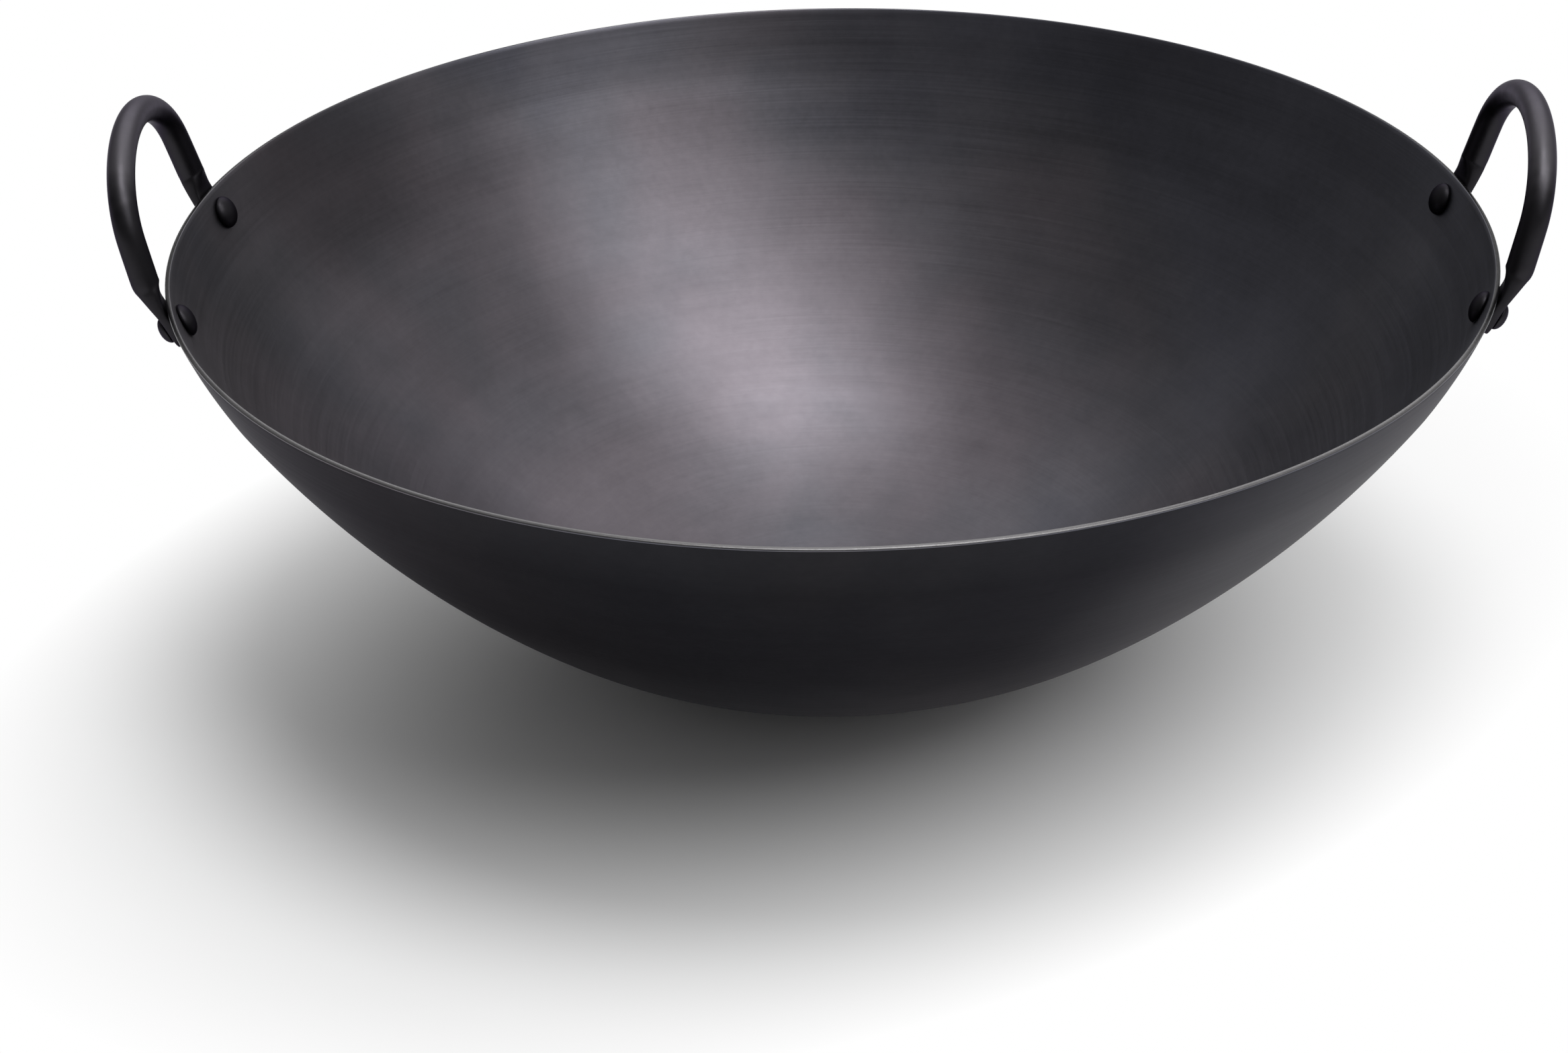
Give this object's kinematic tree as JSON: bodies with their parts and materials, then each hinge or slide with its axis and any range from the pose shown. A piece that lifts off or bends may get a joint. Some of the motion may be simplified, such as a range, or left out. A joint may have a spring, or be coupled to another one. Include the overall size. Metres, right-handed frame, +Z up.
{
  "type": "two-handled wok",
  "caption": "Wide round blackened iron wok with a thin wall, a flat base, a steeper band under the rim, and riveted loop handles bent from round bar on opposite sides.",
  "frame": {"origin": "centre of the flat base, on the surface that the wok stands on", "axes": "+Z up out of the bowl, +X towards the right-hand handle, the picture's viewer on -Y"},
  "size_m": [0.4052, 0.38, 0.1667],
  "materials": {
    "bowl_iron": "satin heat-blackened sheet with fine spinning marks and a bare rim edge",
    "handle_iron": "satin black bar",
    "rivet_iron": "satin black"
  },
  "bodies": {
    "root": {"bowl": "bowl_iron", "left_handle": "handle_iron", "right_handle": "handle_iron", "left_handle_front_rivet": "rivet_iron", "left_handle_rear_rivet": "rivet_iron", "right_handle_front_rivet": "rivet_iron", "right_handle_rear_rivet": "rivet_iron"}
  },
  "joints": []
}
